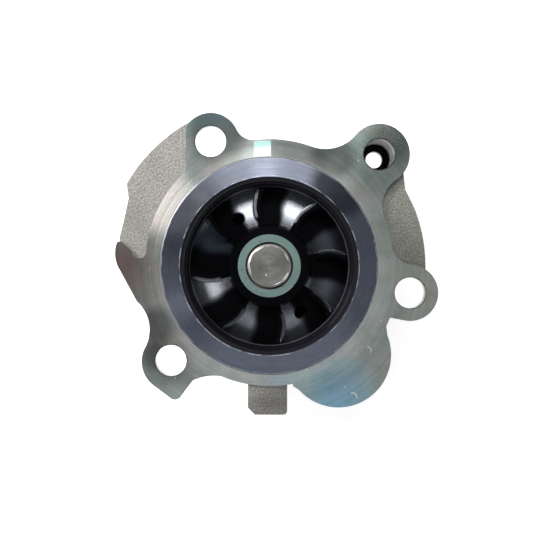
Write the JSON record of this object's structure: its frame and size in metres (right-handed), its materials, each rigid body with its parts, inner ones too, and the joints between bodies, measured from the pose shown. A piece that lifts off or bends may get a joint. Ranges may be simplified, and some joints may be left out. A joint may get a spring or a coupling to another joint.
{
  "type": "coolant pump",
  "caption": "Belt-driven engine coolant pump with a cast flange body, shrouded curved-vane impeller, face seal, roller-and-ball shaft bearing and toothed pulley.",
  "frame": {"origin": "where the shaft axis crosses the machined mounting face of the flange", "axes": "+Z along the shaft towards the impeller; +Y up in plan, away from the small tab; +X towards the single lug on the right, seen from the impeller"},
  "size_m": [0.0936, 0.0877, 0.078],
  "materials": {
    "body_casting": "machined and as cast",
    "o_ring_rubber": "smooth",
    "bearing_steel": "ground",
    "bearing_seal_rubber": "smooth",
    "seal_steel": "pressed",
    "bellows_rubber": "moulded",
    "spring_steel": "drawn wire",
    "carbon": "lapped carbon",
    "shaft_steel": "ground",
    "impeller_moulding": "gloss",
    "shroud_moulding": "turned satin",
    "bush_metal": "machined",
    "ceramic": "lapped ceramic",
    "pulley_steel": "sintered",
    "ball_steel": "polished",
    "cage_plastic": "moulded"
  },
  "bodies": {
    "housing": {"pump_body": "body_casting", "flange_o_ring": "o_ring_rubber", "bearing_outer_ring": "bearing_steel", "front_bearing_seal": "bearing_seal_rubber", "rear_bearing_seal": "bearing_seal_rubber", "seal_case": "seal_steel", "seal_bellows": "bellows_rubber", "seal_spring": "spring_steel", "spring_retainer": "seal_steel", "carbon_ring": "carbon"},
    "rotor": {"pump_shaft": "shaft_steel", "impeller": "impeller_moulding", "impeller_shroud": "shroud_moulding", "impeller_bush": "bush_metal", "seal_sleeve": "seal_steel", "counter_ring": "ceramic", "counter_ring_boot": "bellows_rubber", "slinger_ring": "bearing_seal_rubber", "toothed_pulley": "pulley_steel"},
    "ball_set": {"bearing_balls": "ball_steel", "ball_cage": "cage_plastic"},
    "roller_set": {"bearing_rollers": "bearing_steel", "roller_cage": "cage_plastic"}
  },
  "joints": [
    {"name": "shaft_spin", "type": "hinge", "parent": "housing", "child": "rotor", "pos_m": [0, 0, 0], "axis": [0, 0, 1], "continuous": true},
    {"name": "ball_cage_spin", "type": "hinge", "parent": "housing", "child": "ball_set", "pos_m": [0, 0, -0.032], "axis": [0, 0, 1], "continuous": true},
    {"name": "roller_cage_spin", "type": "hinge", "parent": "housing", "child": "roller_set", "pos_m": [0, 0, -0.019], "axis": [0, 0, 1], "continuous": true}
  ],
  "couplings": [
    {"joint": "ball_cage_spin", "follows": "shaft_spin", "ratio": 0.34736},
    {"joint": "roller_cage_spin", "follows": "shaft_spin", "ratio": 0.39655}
  ]
}
